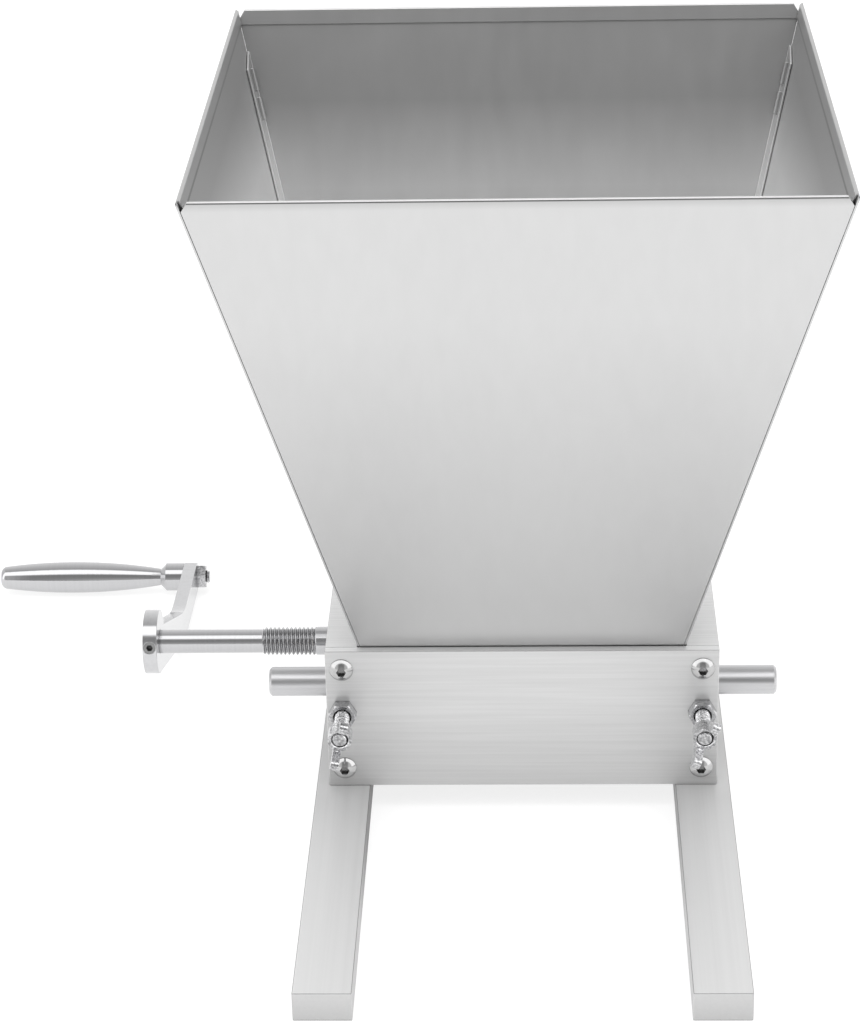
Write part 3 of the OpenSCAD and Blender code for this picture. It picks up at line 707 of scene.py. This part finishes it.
for node in SLIGHTLY_EASED:
    eased(node, SLIGHT_EASE)

for node, shown in nodes.items():
    if node not in shaped:
        shown.data.materials.clear()
        shown.data.materials.append(own_looks.get(node, materials[slot_of_node[node]]))


# Floor

FLOOR_HALF = 6.0
FLOOR_CELLS = 4
FLOOR_DROP = 0.2 * MM
FLOOR_GREY = 0.24
FLOOR_ROUGH = 0.9
FLOOR_GLOW = 0.80

work = bmesh.new()
bmesh.ops.create_grid(work, x_segments=FLOOR_CELLS, y_segments=FLOOR_CELLS, size=FLOOR_HALF)
bmesh.ops.translate(work, verts=work.verts, vec=(0, 0, -FLOOR_DROP))
floor_mesh = bpy.data.meshes.new("floor")
work.to_mesh(floor_mesh)
work.free()
floor = bpy.data.objects.new("floor", floor_mesh)
bpy.context.scene.collection.objects.link(floor)
floor_material = bpy.data.materials.new("floor")
floor_material.use_nodes = True
floor_shader = floor_material.node_tree.nodes["Principled BSDF"]
floor_shader.inputs["Base Color"].default_value = (*grey(FLOOR_GREY), 1)
floor_shader.inputs["Roughness"].default_value = FLOOR_ROUGH
floor_shader.inputs["Emission Color"].default_value = (*grey(1), 1)
floor_shader.inputs["Emission Strength"].default_value = FLOOR_GLOW
floor_mesh.materials.append(floor_material)


# Studio light: a world that varies from front to back, pale walls on both sides and a lamp above

# How far back a direction points, from -1 to 1, and the grey there
SKY = (
    (-0.97, 0.45), (-0.93, 0.36), (-0.80, 0.32), (-0.70, 0.36), (-0.58, 1.85), (-0.15, 1.85), (-0.05, 0.60),
    (0.0, 0.55), (0.50, 0.80), (0.85, 1.00)
)
SKY_FRONT = 0.62
SKY_BACK = 1.05
SIDE_WALLS = (0.15, 0.55)
SIDE_WALL_GREY = 0.85
LAMP_PLACE = Vector((0, -0.2, 2.2))
LAMP_WIDTH = 1.8
LAMP_POWER = 40

world = bpy.data.worlds.new("studio")
bpy.context.scene.world = world
world.use_nodes = True
sky = world.node_tree
direction = parts_of(sky, "Generated")
sky_ramp = sky.nodes.new("ShaderNodeValToRGB")
sky.links.new(past(sky, direction["Y"], -1.0, 1.0), sky_ramp.inputs["Fac"])
for spot, brightness in SKY:
    sky_ramp.color_ramp.elements.new((spot + 1) / 2).color = (*grey(brightness), 1)
sky_ramp.color_ramp.elements[0].color = (*grey(SKY_FRONT), 1)
sky_ramp.color_ramp.elements[-1].color = (*grey(SKY_BACK), 1)
walls = ranged(sky, size_of(sky, direction["X"]), *SIDE_WALLS, 0.0, SIDE_WALL_GREY)
walls.node.interpolation_type = "SMOOTHSTEP"
background = sky.nodes["Background"]
background.inputs["Strength"].default_value = 1.0
sky.links.new(worked(sky, "MAXIMUM", sky_ramp.outputs["Color"], walls), background.inputs["Color"])

lamp_light = bpy.data.lights.new("floor_light", "AREA")
lamp_light.shape = "SQUARE"
lamp_light.size = LAMP_WIDTH
lamp_light.energy = LAMP_POWER
lamp = bpy.data.objects.new("floor_light", lamp_light)
lamp.location = LAMP_PLACE
lamp.rotation_euler = (-LAMP_PLACE).to_track_quat("-Z", "Y").to_euler()
lamp.visible_glossy = False
bpy.context.scene.collection.objects.link(lamp)


# Camera, as solved from the photo

CAMERA_PITCH = math.radians(25.565)
CAMERA_YAW = math.radians(-2.259)
CAMERA_ROLL = math.radians(1.336)
CAMERA_PLACE = Vector((0.00642, -1.10185, 0.64257))
FOCAL_PIXELS = 3000
PHOTO_PIXELS = 1024
SENSOR = 36.0
CLIP_START = 0.01

ahead = Vector((
    math.sin(CAMERA_YAW) * math.cos(CAMERA_PITCH), math.cos(CAMERA_YAW) * math.cos(CAMERA_PITCH),
    -math.sin(CAMERA_PITCH)
))
level = Vector((math.cos(CAMERA_YAW), -math.sin(CAMERA_YAW), 0))
down = ahead.cross(level)
across = math.cos(CAMERA_ROLL) * level + math.sin(CAMERA_ROLL) * down
below = math.cos(CAMERA_ROLL) * down - math.sin(CAMERA_ROLL) * level
turn = Matrix((across, -below, -ahead)).transposed()
lens = bpy.data.cameras.new("camera")
lens.sensor_fit = "VERTICAL"
lens.sensor_height = SENSOR
lens.lens = FOCAL_PIXELS / PHOTO_PIXELS * SENSOR
lens.clip_start = CLIP_START
camera = bpy.data.objects.new("camera", lens)
camera.matrix_world = Matrix.Translation(CAMERA_PLACE) @ turn.to_4x4()
bpy.context.scene.collection.objects.link(camera)
bpy.context.scene.camera = camera
bpy.context.scene.view_settings.view_transform = "Standard"
